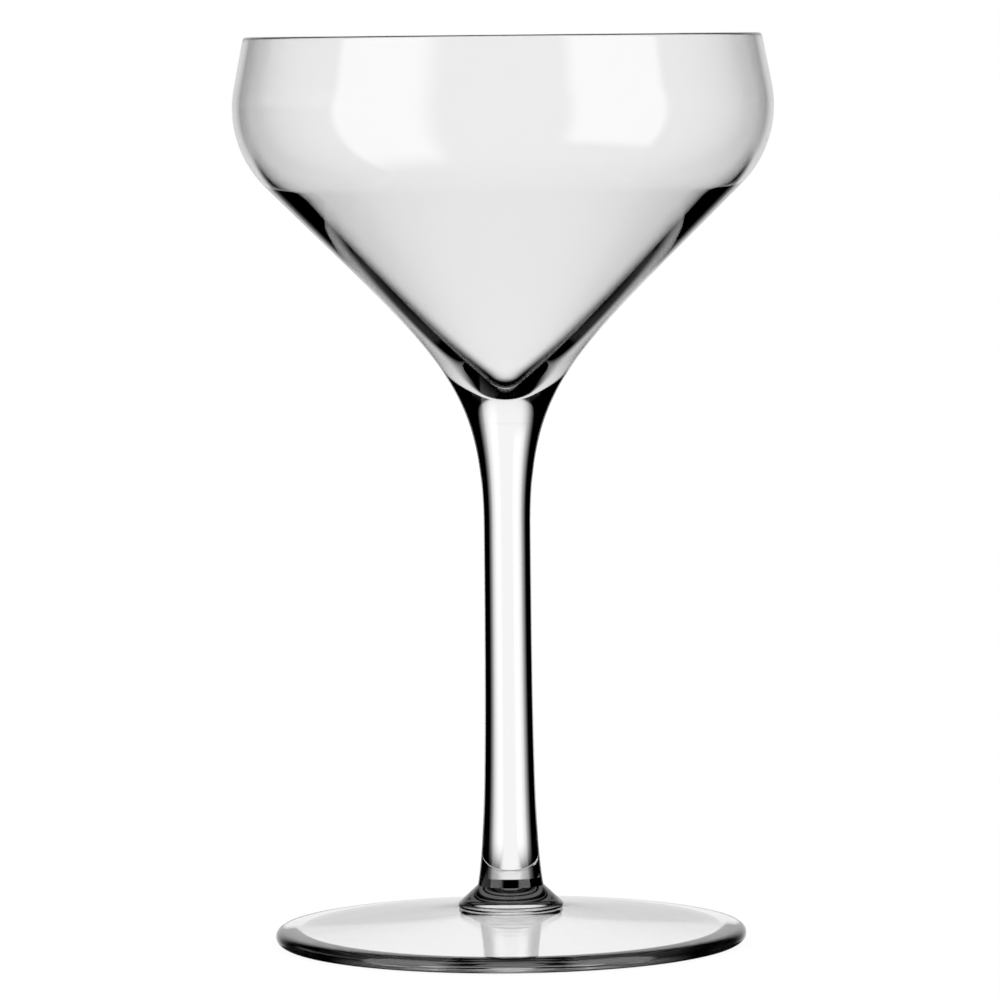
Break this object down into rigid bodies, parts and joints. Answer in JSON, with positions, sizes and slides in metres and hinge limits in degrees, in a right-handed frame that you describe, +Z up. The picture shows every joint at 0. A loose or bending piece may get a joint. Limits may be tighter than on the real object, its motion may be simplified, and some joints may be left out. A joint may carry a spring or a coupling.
{
  "type": "coupe glass",
  "caption": "Clear stemmed coupe glass: wide shallow bowl with a steep side and conical bottom, slim solid stem, small conical collar and flat round foot.",
  "frame": {"origin": "centre of the underside of the foot, in the plane that the glass stands on", "axes": "+Z up along the axis of the stem, from the foot to the lip; every piece is a figure of revolution about Z, so X and Y are free"},
  "size_m": [0.098, 0.098, 0.165],
  "materials": {
    "clear_glass": "clear and colourless, fire-polished to full gloss"
  },
  "bodies": {
    "root": {"bowl": "clear_glass", "stem": "clear_glass", "collar": "clear_glass", "foot": "clear_glass"}
  },
  "joints": []
}
